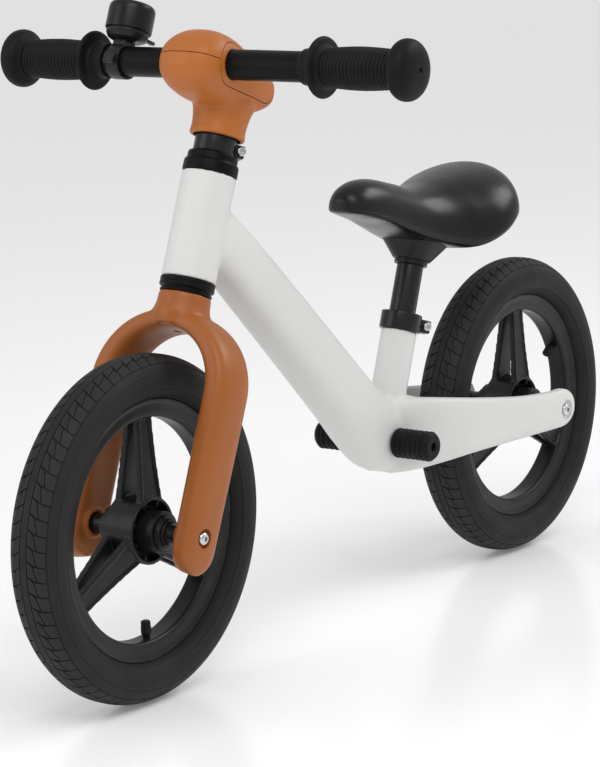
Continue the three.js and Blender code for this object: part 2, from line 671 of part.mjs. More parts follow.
// Saddle stations: distance along X, half width, top of the middle, underside of the edge.
const SADDLE = [
  { x: -6, width: 9, top: 382, bottom: 371 },
  { x: -10, width: 15, top: 388, bottom: 368.5 },
  { x: -18, width: 20, top: 393, bottom: 366 },
  { x: -32, width: 24, top: 396, bottom: 361.5 },
  { x: -52, width: 27, top: 395, bottom: 355 },
  { x: -80, width: 30.5, top: 388.5, bottom: 343 },
  { x: -108, width: 36, top: 382, bottom: 332 },
  { x: -134, width: 46, top: 381.5, bottom: 324 },
  { x: -158, width: 59, top: 385.5, bottom: 320 },
  { x: -182, width: 67, top: 389.5, bottom: 328 },
  { x: -206, width: 65, top: 392.5, bottom: 341 },
  { x: -222, width: 54, top: 393, bottom: 352 },
  { x: -232, width: 38, top: 390, bottom: 361 },
  { x: -237, width: 20, top: 383, bottom: 368 },
];

// Rounded on top, nearly flat beneath.
function saddleRing({ x, width, top, bottom }) {
  const ring = [];
  const count = 20;
  const waist = bottom + (top - bottom) * 0.16;
  for (let i = 0; i < count; i += 1) {
    const angle = (2 * Math.PI * (i + 0.5)) / count;
    const [c, s] = [Math.cos(angle), Math.sin(angle)];
    const reach = s > 0 ? top - waist : waist - bottom;
    const y = width * Math.sign(c) * Math.abs(c) ** (s > 0 ? 0.95 : 0.7);
    ring.push(new THREE.Vector3(x, y, waist + reach * Math.sign(s) * Math.abs(s) ** (s > 0 ? 1 : 0.7)));
  }
  return ring;
}

// The pan runs from the clamp ring on the post up into the underside of the saddle.
const PAN = [
  { s: 118.4, t: 0, a: 15.4, b: 15.4, power: 2 }, { s: 122.4, t: 0, a: 15.4, b: 15.4, power: 2 },
  { s: 123, t: 0, a: 17, b: 17, power: 2.2 }, { s: 130, t: 0, a: 20, b: 22, power: 2.6 },
  { s: 142, t: 1, a: 25, b: 31, power: 3 }, { s: 152, t: 5, a: 26, b: 38, power: 3 },
];

function panBlank(grow) {
  const rings = PAN.map(({ s, t, a, b, power }, i) => {
    const rise = i + 1 === PAN.length ? grow : 0;
    return section(new THREE.Vector3(t, 0, s + rise), AXIS_X, AXIS_Y, a + grow, b + grow, power, 20);
  });
  return loft(rings);
}

function addSaddle() {
  const pan = panBlank(0).subtract(barSolid(POST_RADIUS + GAP, 90, POST.top + GAP, 20));
  const saddle = loft(SADDLE.map(saddleRing)).subtract(inFrame(panBlank(GAP), seatFrame));
  addPart('saddle', saddle, BLACK_FOAM);
  addPart('saddle_pan', pan, BLACK_PLASTIC, seatFrame);
}
addSaddle();

// Foot pegs: ribbed rubber sleeves on a rod through the frame
addPart('peg_rod',
  barSolid(PEG.rodRadius, -PEG.rodEnd, PEG.rodEnd, 12, 'y', [PEG.x, 0, PEG.z]), STEEL);
function pegSolid(side) {
  const profile = [[PEG.rodRadius + GAP, PEG.start]];
  const ribs = 6;
  const pitch = (PEG.end - 6 - PEG.start) / ribs;
  for (let i = 0; i < ribs; i += 1) {
    const y = PEG.start + i * pitch;
    profile.push([PEG.radius, y + 0.5 * pitch], [PEG.radius - 1.3, y + pitch - 0.6]);
  }
  profile.push(
    [PEG.radius, PEG.end - 4], [PEG.radius - 3, PEG.end], [4, PEG.end], [4, PEG.end - 4],
    [0, PEG.end - 4], [0, PEG.rodEnd + GAP], [PEG.rodRadius + GAP, PEG.rodEnd + GAP],
  );
  const geometry = turned(profile, 14, 'y', true);
  geometry.scale(1, side, 1);
  geometry.translate(PEG.x, 0, PEG.z);
  return toSolid(geometry);
}
addPart('peg_left', pegSolid(1), RUBBER);
addPart('peg_right', pegSolid(-1), RUBBER);

export default group;
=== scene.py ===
import math

import bmesh
import bpy
import numpy as np
from mathutils import Matrix, Vector


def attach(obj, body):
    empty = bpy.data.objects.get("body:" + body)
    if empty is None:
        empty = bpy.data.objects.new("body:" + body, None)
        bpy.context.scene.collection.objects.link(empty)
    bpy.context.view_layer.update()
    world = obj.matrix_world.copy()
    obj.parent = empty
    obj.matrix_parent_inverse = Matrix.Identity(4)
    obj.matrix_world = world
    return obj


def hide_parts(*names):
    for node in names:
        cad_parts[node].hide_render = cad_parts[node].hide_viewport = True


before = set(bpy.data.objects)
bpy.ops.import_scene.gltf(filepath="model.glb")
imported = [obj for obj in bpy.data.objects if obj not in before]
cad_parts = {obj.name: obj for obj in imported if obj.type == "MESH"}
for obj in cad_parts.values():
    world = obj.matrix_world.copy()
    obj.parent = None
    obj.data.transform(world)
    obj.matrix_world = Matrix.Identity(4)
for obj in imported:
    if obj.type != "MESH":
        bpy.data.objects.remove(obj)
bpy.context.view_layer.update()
print("frame loaded with", len(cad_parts), "nodes")
mm = 0.001
still = Matrix.Identity(4)

bike = dict(
    halfWheelbase=294.5, wheelRadius=145, steerLean=21.5, seatLean=19.7, seatFoot=(-78.8, 0, 196.1),
    rodRadius=5, rodBore=5.3)

steerPlace = Matrix.Translation((bike["halfWheelbase"], 0, bike["wheelRadius"])) @ Matrix.Rotation(
    math.radians(-bike["steerLean"]), 4, "Y")
seatPlace = Matrix.Translation(bike["seatFoot"]) @ Matrix.Rotation(math.radians(-bike["seatLean"]), 4, "Y")
frontPlace = Matrix.Translation((bike["halfWheelbase"], 0, bike["wheelRadius"]))
rearPlace = Matrix.Translation((-bike["halfWheelbase"], 0, bike["wheelRadius"]))
xWay, yWay, zWay = np.eye(3)
sides = (("left", 1), ("right", -1))
clearance = 0.3  # between two pieces that meet


# the mesh helpers work in millimetres
def shell(name, points, faces):
    mesh = bpy.data.meshes.new(name)
    mesh.from_pydata(np.asarray(points, float).tolist(), [], faces)
    work = bmesh.new()
    work.from_mesh(mesh)
    bmesh.ops.remove_doubles(work, verts=work.verts, dist=1e-4)
    bmesh.ops.recalc_face_normals(work, faces=work.faces)
    work.to_mesh(mesh)
    work.free()
    made = bpy.data.objects.new(name, mesh)
    bpy.context.scene.collection.objects.link(made)
    return made


def skin(name, rings, loop=False):
    # rings is rows x points x 3; loop joins the last row to the first, otherwise both ends are capped
    rings = np.asarray(rings, float)
    rows, count = rings.shape[:2]
    faces = []
    for r in range(rows if loop else rows - 1):
        a, b = r * count, ((r + 1) % rows) * count
        for i in range(count):
            j = (i + 1) % count
            faces.append((a + i, a + j, b + j, b + i))
    if not loop:
        faces.append(tuple(range(count)))
        faces.append(tuple(range((rows - 1) * count, rows * count)))
    return shell(name, rings.reshape(-1, 3), faces)


def softened(profile, radius, closed=False, steps=3):
    # rounds the corners of a flat profile with small curves
    points = [np.array(p, float) for p in profile]
    count = len(points)
    out = []
    for i, here in enumerate(points):
        if not closed and i in (0, count - 1):
            out.append(here)
            continue
        back, ahead = points[i - 1] - here, points[(i + 1) % count] - here
        lengths = np.linalg.norm(back), np.linalg.norm(ahead)
        reach = min(radius, 0.45 * lengths[0], 0.45 * lengths[1])
        start = here + back / lengths[0] * reach
        end = here + ahead / lengths[1] * reach
        for k in range(steps + 1):
            t = k / steps
            out.append(start * (1 - t) ** 2 + here * 2 * t * (1 - t) + end * t * t)
    return np.array(out)


def turned(name, profile, sides=72, axis="z", loop=False, round=0.0):
    # profile rows are (radius, distance along the axis)
    profile = softened(profile, round, loop) if round else np.array(profile, float)
    angle = np.arange(sides) * 2 * math.pi / sides
    rings = np.zeros((len(profile), sides, 3))
    order = {"z": (0, 1, 2), "y": (2, 0, 1), "x": (1, 2, 0)}[axis]
    rings[:, :, order[0]] = profile[:, :1] * np.cos(angle)
    rings[:, :, order[1]] = profile[:, :1] * np.sin(angle)
    rings[:, :, order[2]] = profile[:, 1:]
    return skin(name, rings, loop)


def rod(name, radius, start, end, sides=48, axis="z", at=(0, 0, 0), round=0.0):
    made = turned(name, [(0, start), (radius, start), (radius, end), (0, end)], sides, axis, round=round)
    made.data.transform(Matrix.Translation(at))
    return made


def block(name, size, at, round=0.0):
    work = bmesh.new()
    bmesh.ops.create_cube(work, size=1)
    bmesh.ops.scale(work, vec=size, verts=work.verts)
    if round:
        bmesh.ops.bevel(work, geom=work.edges[:], offset=round, segments=3, affect="EDGES", profile=0.5)
    bmesh.ops.translate(work, vec=at, verts=work.verts)
    mesh = bpy.data.meshes.new(name)
    work.to_mesh(mesh)
    work.free()
    made = bpy.data.objects.new(name, mesh)
    bpy.context.scene.collection.objects.link(made)
    return made


def ovalRing(at, along, across, a, b, power, count):
    # a rounded-box section with half sizes a and b
    angle = (np.arange(count) + 0.5) * 2 * math.pi / count
    c, s = np.cos(angle), np.sin(angle)
    u = a * np.sign(c) * np.abs(c) ** (2 / power)
    v = b * np.sign(s) * np.abs(s) ** (2 / power)
    return np.asarray(at) + np.outer(u, along) + np.outer(v, across)


def eased(rows, perGap):
    # a smooth run of rows through the given ones
    rows = np.array(rows, float)
    out = []
    for i in range(len(rows) - 1):
        p0, p1 = rows[max(i - 1, 0)], rows[i]
        p2, p3 = rows[i + 1], rows[min(i + 2, len(rows) - 1)]
        for k in range(perGap):
            t = k / perGap
            out.append(0.5 * (2 * p1 + (p2 - p0) * t + (2 * p0 - 5 * p1 + 4 * p2 - p3) * t * t
                              + (3 * p1 - p0 - 3 * p2 + p3) * t ** 3))
    out.append(rows[-1])
    return np.array(out)


def swept(name, fixed, rows, power, count):
    # rows are (x, y, z, half size along fixed, half size across)
    rows = np.asarray(rows, float)
    rings = []
    for i, row in enumerate(rows):
        travel = rows[min(i + 1, len(rows) - 1), :3] - rows[max(i - 1, 0), :3]
        across = np.cross(travel / np.linalg.norm(travel), fixed)
        across /= np.linalg.norm(across)
        rings.append(ovalRing(row[:3], fixed, across, row[3], row[4], power, count))
    return skin(name, rings)


def freeze(piece):
    # bakes the modifiers into the mesh
    graph = bpy.context.evaluated_depsgraph_get()
    fresh = bpy.data.meshes.new_from_object(piece.evaluated_get(graph))
    old = piece.data
    piece.modifiers.clear()
    piece.data = fresh
    bpy.data.meshes.remove(old)
    return piece


def boolean(piece, tool, way="DIFFERENCE"):
    step = piece.modifiers.new("cut", "BOOLEAN")
    step.operation = way
    step.solver = "MANIFOLD"
    step.object = tool
    freeze(piece)
    bpy.data.objects.remove(tool)
    return piece


def joined(name, parts):
    work = bmesh.new()
    for part in parts:
        work.from_mesh(part.data)
        bpy.data.objects.remove(part)
    mesh = bpy.data.meshes.new(name)
    work.to_mesh(mesh)
    work.free()
    made = bpy.data.objects.new(name, mesh)
    bpy.context.scene.collection.objects.link(made)
    return made


def cast(name, parts, grain, rounds, spots=(), spotRounds=0):
    # melts the parts into one casting; spots are (x, y, z, radius) where the join is worked smoother
    whole = joined(name, parts)
    remesh = whole.modifiers.new("melt", "REMESH")
    remesh.mode = "VOXEL"
    remesh.voxel_size = grain
    freeze(whole)
    if spots:
        points = np.array([v.co for v in whole.data.vertices])
        weight = np.zeros(len(points))
        for x, y, z, radius in spots:
            near = 1 - np.linalg.norm(points - (x, y, z), axis=1) / radius
            weight = np.maximum(weight, np.clip(near * 2, 0, 1))
        group = whole.vertex_groups.new(name="fillet")
        for step in range(1, 11):
            chosen = np.nonzero(np.round(weight * 10) == step)[0]
            group.add(chosen.tolist(), step / 10, "REPLACE")
        easing = whole.modifiers.new("fillet", "SMOOTH")
        easing.factor = 0.5
        easing.iterations = spotRounds
        easing.vertex_group = "fillet"
    polish = whole.modifiers.new("polish", "SMOOTH")
    polish.factor = 0.5
    polish.iterations = rounds
    freeze(whole)
    whole.vertex_groups.clear()
    return whole


def sided(piece, side):
    # mirrors a piece built on the left to the right
    piece.data.transform(Matrix.Scale(side, 4, (0, 1, 0)))
    if side < 0:
        piece.data.flip_normals()
    return piece


def copyOf(piece, name):
    twin = bpy.data.objects.new(name, piece.data.copy())
    bpy.context.scene.collection.objects.link(twin)
    return twin


def fit(piece, body, stuff, place=still, stands=(), sharp=38):
    # sets a finished piece in its place on the bike
    piece.data.transform(Matrix.Scale(mm, 4))
    local = place.copy()
    local.translation = local.translation * mm
    piece.data.transform(local)
    piece.data.shade_smooth()
    piece.data.set_sharp_from_angle(angle=math.radians(sharp))
    piece.data.materials.clear()
    piece.data.materials.append(stuff)
    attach(piece, body)
    if stands:
        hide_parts(*stands)
    return piece


def finish(look):
    # base and second colours mottle into each other; fine bump and roughness change with their own noise
    stuff = bpy.data.materials.new(look["name"])
    stuff.use_nodes = True
    tree = stuff.node_tree
    shader = tree.nodes["Principled BSDF"]
    spot = tree.nodes.new("ShaderNodeTexCoord")

    def noise(scale, detail=4.0, rough=0.55):
        made = tree.nodes.new("ShaderNodeTexNoise")
        made.inputs["Scale"].default_value = scale
        made.inputs["Detail"].default_value = detail
        made.inputs["Roughness"].default_value = rough
        tree.links.new(spot.outputs["Object"], made.inputs["Vector"])
        return made.outputs["Fac"]

    def spread(value, low, high, start=0.3, end=0.7):
        made = tree.nodes.new("ShaderNodeMapRange")
        made.inputs["From Min"].default_value = start
        made.inputs["From Max"].default_value = end
        made.inputs["To Min"].default_value = low
        made.inputs["To Max"].default_value = high
        tree.links.new(value, made.inputs["Value"])
        return made.outputs["Result"]

    def mixed(amount, first, second):
        made = tree.nodes.new("ShaderNodeMix")
        made.data_type = "RGBA"
        tree.links.new(amount, made.inputs["Factor"])
        for socket, colour in ((made.inputs["A"], first), (made.inputs["B"], second)):
            if isinstance(colour, tuple):
                socket.default_value = (*colour, 1)
            else:
                tree.links.new(colour, socket)
        return made.outputs["Result"]

    colour = mixed(spread(noise(look["mottleScale"]), 0, 1), look["base"], look["second"])
    if "edge" in look:  # lighter along sharp convex edges: dust on the rubber, a painted highlight on the paint, plastic and anodised parts
        shape = tree.nodes.new("ShaderNodeNewGeometry")
        edgeDustAndHighlight = spread(shape.outputs["Pointiness"], 0, look["edgeDustAndHighlightShare"], 0.51, 0.60)
        colour = mixed(edgeDustAndHighlight, colour, look["edge"])
    tree.links.new(colour, shader.inputs["Base Color"])
    tree.links.new(spread(noise(look["roughScale"]), *look["rough"]), shader.inputs["Roughness"])
    if look["grain"] == "cells":
        cells = tree.nodes.new("ShaderNodeTexVoronoi")
        cells.feature = "F1"
        cells.inputs["Scale"].default_value = look["grainScale"]
        tree.links.new(spot.outputs["Object"], cells.inputs["Vector"])
        relief = cells.outputs["Distance"]
    else:
        relief = noise(look["grainScale"], 2.0, 0.5)
    bump = tree.nodes.new("ShaderNodeBump")
    bump.inputs["Strength"].default_value = look["grainStrength"]
    bump.inputs["Distance"].default_value = look["grainDepth"] * mm
    tree.links.new(relief, bump.inputs["Height"])
    tree.links.new(bump.outputs["Normal"], shader.inputs["Normal"])
    shader.inputs["Metallic"].default_value = look.get("metal", 0.0)
    shader.inputs["Specular IOR Level"].default_value = look.get("shine", 0.5)
    return stuff


# white powder coat on the frame, with a faint orange peel; its lighter edge colour is a painted highlight
framePaint = finish(dict(
    name="framePaint", base=(0.655, 0.655, 0.64), second=(0.695, 0.69, 0.675), mottleScale=14,
    rough=(0.40, 0.52), roughScale=40, grain="noise", grainScale=900, grainStrength=0.25, grainDepth=0.12,
    edge=(0.74, 0.74, 0.73), edgeDustAndHighlightShare=0.5, shine=0.4))

# burnt orange paint on the fork; its lighter edge colour is a painted highlight
forkPaint = finish(dict(
    name="forkPaint", base=(0.315, 0.092, 0.017), second=(0.345, 0.103, 0.020), mottleScale=16,
    rough=(0.34, 0.46), roughScale=50, grain="noise", grainScale=1000, grainStrength=0.22, grainDepth=0.10,
    edge=(0.40, 0.135, 0.035), edgeDustAndHighlightShare=0.4, shine=0.32))

# the stem cover is moulded in the same orange, with a fine moulded grain; its lighter edge colour is a
# painted highlight
coverPlastic = finish(dict(
    name="coverPlastic", base=(0.41, 0.122, 0.021), second=(0.445, 0.135, 0.026), mottleScale=20,
    rough=(0.38, 0.50), roughScale=90, grain="cells", grainScale=1800, grainStrength=0.16, grainDepth=0.08,
    edge=(0.50, 0.165, 0.040), edgeDustAndHighlightShare=0.4, shine=0.32))

# tyre rubber, a little dusty on the block edges
tyreRubber = finish(dict(
    name="tyreRubber", base=(0.010, 0.010, 0.010), second=(0.016, 0.016, 0.0165), mottleScale=30,
    rough=(0.55, 0.72), roughScale=60, grain="noise", grainScale=1400, grainStrength=0.5, grainDepth=0.15,
    edge=(0.030, 0.030, 0.031), edgeDustAndHighlightShare=0.6, shine=0.24))

# satin black moulding of the wheels; its lighter edge colour is a painted highlight
wheelPlastic = finish(dict(
    name="wheelPlastic", base=(0.006, 0.006, 0.0065), second=(0.010, 0.010, 0.0105), mottleScale=25,
    rough=(0.30, 0.44), roughScale=45, grain="noise", grainScale=1300, grainStrength=0.2, grainDepth=0.08,
    edge=(0.018, 0.018, 0.019), edgeDustAndHighlightShare=0.5, shine=0.26))

# powder-coated handlebar
barCoat = finish(dict(
    name="barCoat", base=(0.0035, 0.0035, 0.004), second=(0.0055, 0.0055, 0.006), mottleScale=35,
    rough=(0.34, 0.44), roughScale=70, grain="noise", grainScale=1500, grainStrength=0.3, grainDepth=0.08,
    shine=0.10))

# anodised clamps, cups and posts; their lighter edge colour is a painted highlight
anodised = finish(dict(
    name="anodised", base=(0.006, 0.006, 0.0065), second=(0.010, 0.010, 0.011), mottleScale=60,
    rough=(0.20, 0.30), roughScale=120, grain="noise", grainScale=1600, grainStrength=0.12, grainDepth=0.05,
    edge=(0.05, 0.05, 0.054), edgeDustAndHighlightShare=0.5, metal=0.2, shine=0.34))

# soft rubber of the grips and pegs
gripRubber = finish(dict(
    name="gripRubber", base=(0.004, 0.004, 0.004), second=(0.007, 0.007, 0.007), mottleScale=45,
    rough=(0.48, 0.62), roughScale=80, grain="noise", grainScale=1700, grainStrength=0.4, grainDepth=0.10,
    edge=(0.020, 0.020, 0.0205), edgeDustAndHighlightShare=0.5, shine=0.15))

# moulded foam skin of the saddle
saddleSkin = finish(dict(
    name="saddleSkin", base=(0.004, 0.004, 0.0043), second=(0.006, 0.006, 0.0064), mottleScale=22,
    rough=(0.24, 0.32), roughScale=60, grain="cells", grainScale=1500, grainStrength=0.22, grainDepth=0.10,
    shine=0.30))

# lacquered bell
bellLacquer = finish(dict(
    name="bellLacquer", base=(0.004, 0.004, 0.0043), second=(0.006, 0.006, 0.0064), mottleScale=60,
    rough=(0.26, 0.36), roughScale=110, grain="noise", grainScale=1500, grainStrength=0.1, grainDepth=0.05,
    shine=0.26))

# zinc-plated screws
screwSteel = finish(dict(
    name="screwSteel", base=(0.55, 0.56, 0.58), second=(0.66, 0.67, 0.69), mottleScale=300,
    rough=(0.20, 0.34), roughScale=500, grain="noise", grainScale=2500, grainStrength=0.2, grainDepth=0.05,
    metal=1.0))
print("finishes mixed")


tyre = dict(
    blocks=72, ribHalf=3.0, grooveWidth=0.9, grooveDepth=1.3, sawAt=10.5, sawReach=1.5, edge=19.4,
    sipeTop=0.036, sipeFloor=0.022, sipeDepth=1.2, rowLean=0.36, edgeLean=0.14,
    # distance from the middle plane and radius, from the crown to the bead
    outline=[(0, 145), (4, 144.95), (8, 144.3), (12, 142.8), (16, 140.4), (19.2, 137.2), (21.6, 133.2),
             (23.2, 128.9), (23.75, 124.6), (23.2, 120.2), (21.7, 116.5), (19.2, 113.4), (16.6, 111.3),
             (14.4, 110.1)],
    heel=[(13.4, 109.75), (11.2, 109.75), (6, 102)])


def tyreRows():
    # rows of (distance along the outline, depth on all columns, depth in the sipes, saw-tooth share)
    rib, wide, deep, sipe = tyre["ribHalf"], tyre["grooveWidth"], tyre["grooveDepth"], tyre["sipeDepth"]
    saw, edge = tyre["sawAt"], tyre["edge"]
    rows = [(0, 0, 0, 0), (rib * 0.55, 0, 0, 0), (rib, 0, 0, 0), (rib + 0.18, deep, deep, 0),
            (rib + wide - 0.18, deep, deep, 0), (rib + wide, 0, sipe, 0)]
    rows += [(s, 0, sipe, share) for s, share in ((5.6, 0.2), (7.4, 0.5), (9, 0.8))]
    rows += [(saw - 0.45, 0, sipe, 1), (saw - 0.28, sipe, sipe, 1)]  # the zigzag groove
    rows += [(saw + 0.28, sipe, sipe, 1), (saw + 0.45, 0, sipe, 1)]
    rows += [(s, 0, sipe, share) for s, share in ((12.4, 0.6), (14.2, 0.3), (16, 0), (17.8, 0))]
    rows += [(edge, 0, sipe * 0.9, 0), (edge + 0.35, 0.5, sipe * 0.7, 0)]  # the step where the tread ends
    rows += [(edge + 1.2, 0.5, 0.5, 0), (edge + 1.5, 0, 0, 0)]
    rows += [(s, 0, 0, 0) for s in (22.6, 24.6, 26.6)]
    rows += [(28.0, 0, 0, 0), (28.4, 0.45, 0.45, 0), (29.0, 0.45, 0.45, 0), (29.4, 0, 0, 0)]  # wall ring
    rows += [(s, 0, 0, 0) for s in (31.4, 33.4, 35.4, 37.4, 39.4, 41.2)]
    rows += [(42.6, 0, 0, 0), (43.0, -0.5, -0.5, 0), (43.8, -0.5, -0.5, 0)]  # bead line
    rows += [(44.2, 0, 0, 0), (46.2, 0, 0, 0)]
    return rows


def circle(radius, angle, y):
    return np.stack([radius * np.cos(angle), np.full(len(angle), float(y)), radius * np.sin(angle)], axis=1)


def tyreShell(name):
    fine = eased(tyre["outline"], 16)
    steps = np.linalg.norm(np.diff(fine, axis=0), axis=1)
    reach = np.concatenate([[0], np.cumsum(steps)])
    slope = np.gradient(fine, axis=0)
    slope /= np.linalg.norm(slope, axis=1)[:, None]
    pitch = 2 * math.pi / tyre["blocks"]
    top, low = tyre["sipeTop"], tyre["sipeFloor"]
    # place along one tread unit, whether in a sipe, and which way the saw-tooth leans there
    columns = np.array([(-top, 0, 1), (-low, 1, 1), (low, 1, -1), (top, 0, -1), (0.5, 0, 0)])
    place = (np.arange(tyre["blocks"])[:, None] + columns[:, 0]).ravel()
    inSipe = np.tile(columns[:, 1], tyre["blocks"]) > 0
    saw = np.tile(-columns[:, 2], tyre["blocks"])
    rows = [row for row in tyreRows() if row[0] < reach[-1]]

    def ring(row, side):
        s, plain, sipe, share = row
        s = s + share * saw * tyre["sawReach"]
        y, r = np.interp(s, reach, fine[:, 0]), np.interp(s, reach, fine[:, 1])
        dy, dr = np.interp(s, reach, slope[:, 0]), np.interp(s, reach, slope[:, 1])
        depth = np.where(inSipe, sipe, plain)
        inner = np.clip((row[0] - tyre["ribHalf"]) / (tyre["sawAt"] - tyre["ribHalf"]), 0, 1)
        outer = np.clip((row[0] - tyre["sawAt"]) / (tyre["edge"] - tyre["sawAt"]), 0, 1)
        lean = -(tyre["rowLean"] * inner + tyre["edgeLean"] * outer)
        stagger = 0.25 + side * 0.25 * min(1, row[0] / tyre["ribHalf"])
        angle = pitch * (place + lean + stagger)
        r, y = r - depth * dy, y + depth * dr
        return np.stack([r * np.cos(angle), side * y, r * np.sin(angle)], axis=1)

    rings = [ring(row, 1) for row in rows]
    last = np.arctan2(rings[-1][:, 2], rings[-1][:, 0])
    mirrored = [ring(row, -1) for row in rows[1:]]
    lastBack = np.arctan2(mirrored[-1][:, 2], mirrored[-1][:, 0])
    heel = tyre["heel"]
    rings += [circle(r, last, y) for y, r in heel]
    rings += [circle(r, lastBack, -y) for y, r in heel[::-1]]
    return skin(name, rings + mirrored[::-1], loop=True)


rim = dict(
    # radius and distance from the middle plane of half the ring, from the opening to the lip and the well
    half=[(93.3, 7.6), (94.0, 9.3), (96.2, 10.4), (98.4, 10.7), (104.8, 11.2), (107.0, 12.4),
          (109.3, 12.7), (109.5, 11.9), (107.6, 10.6), (102.4, 6.0)],
    ringOuter=28, ringInner=25.3, ringHalf=15, barrel=17.5, barrelHalf=27, web=4, bore=5.3, ribs=8,
    spokes=(92, 212, 332), recess=1.7, lip=2.3, valveHole=3.4, grain=0.9,
    # radius, distance from the middle plane, half width, half thickness of each blade
    blade=[(26, 11, 13, 3.4), (48, 9, 11, 3.0), (72, 6.7, 9.6, 3.0), (95.3, 4.6, 8.5, 3.2)])


def blade(angle, side):
    turn = math.radians(angle)
    out = np.array([math.cos(turn), 0, math.sin(turn)])
    around = np.array([-math.sin(turn), 0, math.cos(turn)])
    rings = []
    for radius, y, w, t in eased(rim["blade"], 6):
        lip, floor = w - rim["lip"], t - rim["recess"]
        outline = [(-w, -t), (w, -t), (w, t), (lip + 0.5, t), (lip - 0.8, floor),
                   (-lip + 0.8, floor), (-lip - 0.5, t), (-w, t)]
        rings.append([out * radius + around * u + yWay * side * (y + v) for u, v in outline])
    return skin("blade", rings)


def rimCasting(name, valveAngle):
    r = rim
    half = r["half"]
    ring = turned("ring", half + [(radius, -y) for radius, y in half[::-1]], 180, "y", loop=True, round=0.7)
    hubHalf = [(r["barrel"], r["barrelHalf"]), (r["barrel"], r["web"]), (r["ringInner"], r["web"]),
               (r["ringInner"], r["ringHalf"]), (r["ringOuter"], r["ringHalf"])]
    hubLine = [(r["bore"], r["barrelHalf"])] + hubHalf
    hubLine += [(radius, -y) for radius, y in hubLine[::-1]]
    parts = [ring, turned("hub", hubLine, 96, "y", loop=True)]
    parts += [blade(angle, side) for angle in r["spokes"] for side in (1, -1)]
    for i in range(r["ribs"]):  # short stiffening ribs inside the hub ring
        rib = block("rib", (5.5, 2 * r["ringHalf"] - 2, 1.8), (r["ringInner"] - 2, 0, 0))
        rib.data.transform(Matrix.Rotation(2 * math.pi * (i + 0.5) / r["ribs"], 4, "Y"))
        parts.append(rib)
    whole = cast(name, parts, r["grain"], 2)
    hole = rod("hole", r["valveHole"], 85, 108, 32, "x")
    hole.data.transform(Matrix.Rotation(math.radians(-valveAngle), 4, "Y"))
    return boolean(whole, hole)


def valveStem(name, angle):
    # cap, collar and stem as (radius, distance from the axle)
    line = [(0, 79), (3.4, 79), (4.1, 80), (4.1, 83.4), (3.7, 83.8), (4.4, 84.3), (4.4, 90.2),
            (3.2, 91), (3.0, 96), (3.0, 100.6), (0, 100.6)]
    made = turned(name, line, 40, "x", round=0.4)
    made.data.transform(Matrix.Rotation(math.radians(-angle), 4, "Y"))
    return made


def spacer(name, side, reach):
    # stepped bearing cap and the sleeve that reaches to the leg
    line = [(5.3, 27.3), (14.5, 27.3), (14.5, 29), (13.2, 29.4), (13.2, 31.4), (11, 31.8), (11, 33.8),
            (8.5, 34.4), (8.5, reach), (5.3, reach)]
    made = turned(name, line, 64, "y", loop=True, round=0.35)
    return sided(made, side)


def buttonBolt(name, side, seat, head):
    # domed head with a six-sided socket
    top = seat + head
    line = [(0, seat), (5.8, seat), (5.8, seat + head * 0.35), (5.0, seat + head * 0.72),
            (3.4, top), (0, top)]
    made = turned(name, line, 48, "y", round=0.5)
    boolean(made, rod("socket", 2.3, seat + head * 0.3, top + 1, 6, "y"))
    return sided(made, side)


# leg is the inner face of the fork leg or stay, face its outer face, seat the floor of the bolt's pocket
wheels = [
    dict(name="front", place=frontPlace, body="front_wheel_body", holder="fork_body",
         valve=267, leg=47, face=68, seat=64.8),
    dict(name="rear", place=rearPlace, body="rear_wheel_body", holder="frame_body",
         valve=151, leg=50, face=64.5, seat=62.3)]


def buildWheel(w):
    name, place, body, holder = w["name"], w["place"], w["body"], w["holder"]
    fit(tyreShell(name + "_tyre_tread"), body, tyreRubber, place, [name + "_tyre"], 50)
    rimPiece = rimCasting(name + "_wheel_casting", w["valve"])
    fit(rimPiece, body, wheelPlastic, place, [name + "_rim"], 45)
    valve = valveStem(name + "_valve_stem", w["valve"])
    fit(valve, body, gripRubber, place, [name + "_valve"])
    end = w["seat"] - clearance
    axle = rod(name + "_axle_rod", bike["rodRadius"], -end, end, 48, "y", round=0.5)
    fit(axle, holder, screwSteel, place, [name + "_axle"])
    for label, side in sides:
        bearing = spacer(f"{name}_bearing_{label}", side, w["leg"] - clearance)
        fit(bearing, holder, anodised, place, [f"{name}_spacer_{label}"])
        button = buttonBolt(f"{name}_button_{label}", side, w["seat"], w["face"] - w["seat"] + 1.2)
        fit(button, holder, screwSteel, place, [f"{name}_bolt_{label}"])


for wheel in wheels:
    buildWheel(wheel)
print("wheels built")


casting = dict(
    headRadius=23, headBottom=210, headTop=300.6, headBore=16.5, seatRadius=16.6, seatTop=56, seatBore=12.6,
    boreBottom=-22, pegAt=(-56.9, 0, 153), boltSeat=10, boltSeatFrom=62, grain=1.5,
    # x, z, height and width of the beam, from the head tube back to the pegs
    beam=[(196, 386, 45, 39), (159.3, 352.4, 50.5, 42), (79.7, 279.1, 55, 43), (5.2, 209.6, 59, 43.5),
          (-25, 181.4, 63, 44), (-52, 162.5, 70, 44), (-80, 156.5, 72, 48), (-106, 154.5, 64, 56),
          (-121, 154.5, 46, 44)],
    # x, y, z and reach of the places where the joins are worked smooth
    joins=[(196, 0, 386, 46), (180, 0, 350, 40), (-86, 0, 206, 34), (-120, 0, 178, 34),
           (-100, 26, 158, 30), (-100, -26, 158, 30)],
    # x, y, thickness, top and bottom of the left stay
    stay=[(-60, 9, 20, 192, 122), (-86, 21, 20, 190, 122), (-114, 37, 17, 186.5, 126),
          (-145, 49.5, 15, 182, 130), (-182, 55.6, 14.6, 176.5, 131), (-228, 57.25, 14.5, 170, 130),
          (-274, 57.25, 14.5, 166, 128.4),
          (-293, 57.25, 14.5, 165.6, 128.2), (-303, 57.25, 14.2, 163, 130.8), (-309, 57.25, 13.4, 158, 136),
          (-312, 57.25, 11.5, 152, 142)])


